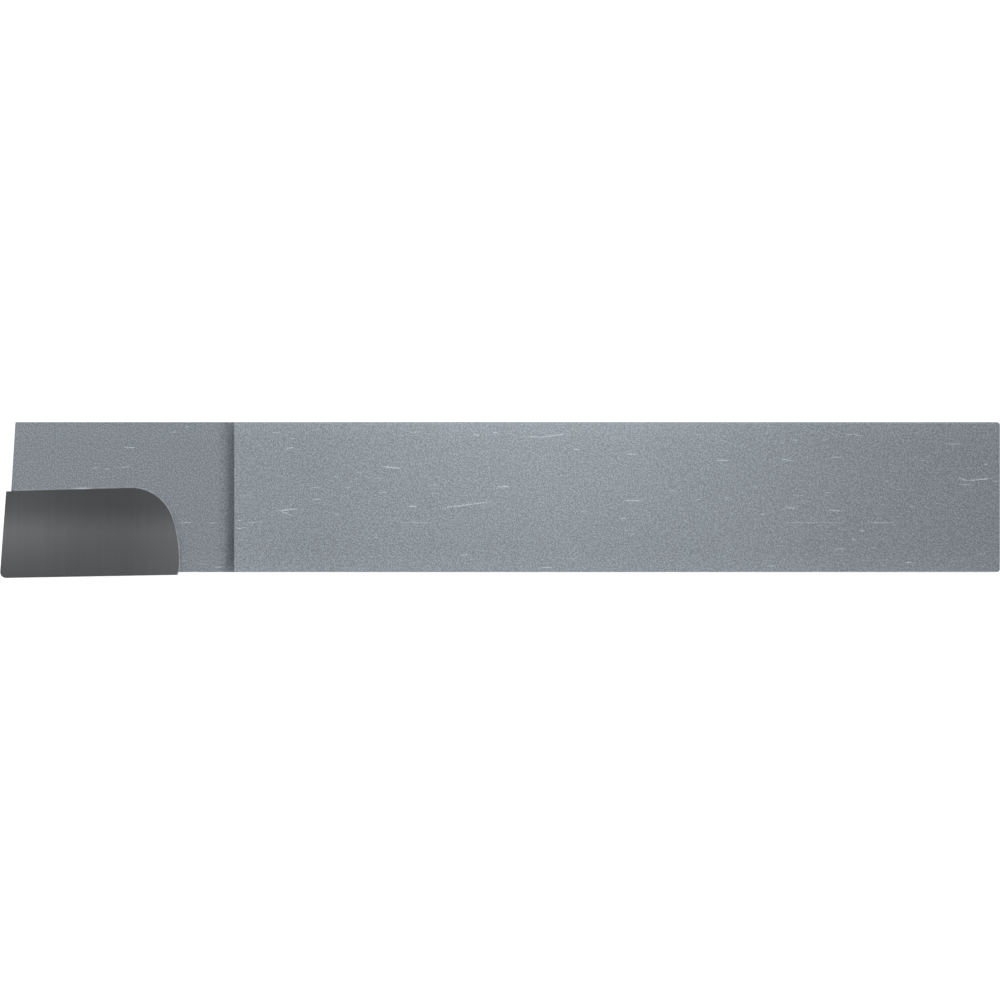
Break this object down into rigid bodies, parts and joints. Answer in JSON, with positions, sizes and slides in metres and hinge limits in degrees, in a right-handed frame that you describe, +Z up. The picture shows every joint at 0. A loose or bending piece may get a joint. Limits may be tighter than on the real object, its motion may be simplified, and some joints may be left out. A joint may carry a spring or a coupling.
{
  "type": "carbide tipped tool bit",
  "caption": "Right-hand turning tool with a square steel shank, a lowered nose floor and a carbide tip brazed into a sloping seat at its outer front corner.",
  "frame": {"origin": "on the base face, on the shank's centreline, midway between the tip's nose and the rear end", "axes": "+X along the shank from the nose towards the rear end, +Z up from the base face to the rake face, -Y towards the side cutting edge"},
  "size_m": [0.0635, 0.0099, 0.0095],
  "materials": {
    "blasted_steel": "grit-blasted carbon steel, grey, fine matt grain with a few bright scratches",
    "silver_braze": "silver braze alloy, satin",
    "ground_carbide": "finely ground cemented carbide, dark grey satin"
  },
  "bodies": {
    "root": {"shank": "blasted_steel", "braze_joint": "silver_braze", "carbide_tip": "ground_carbide"}
  },
  "joints": []
}
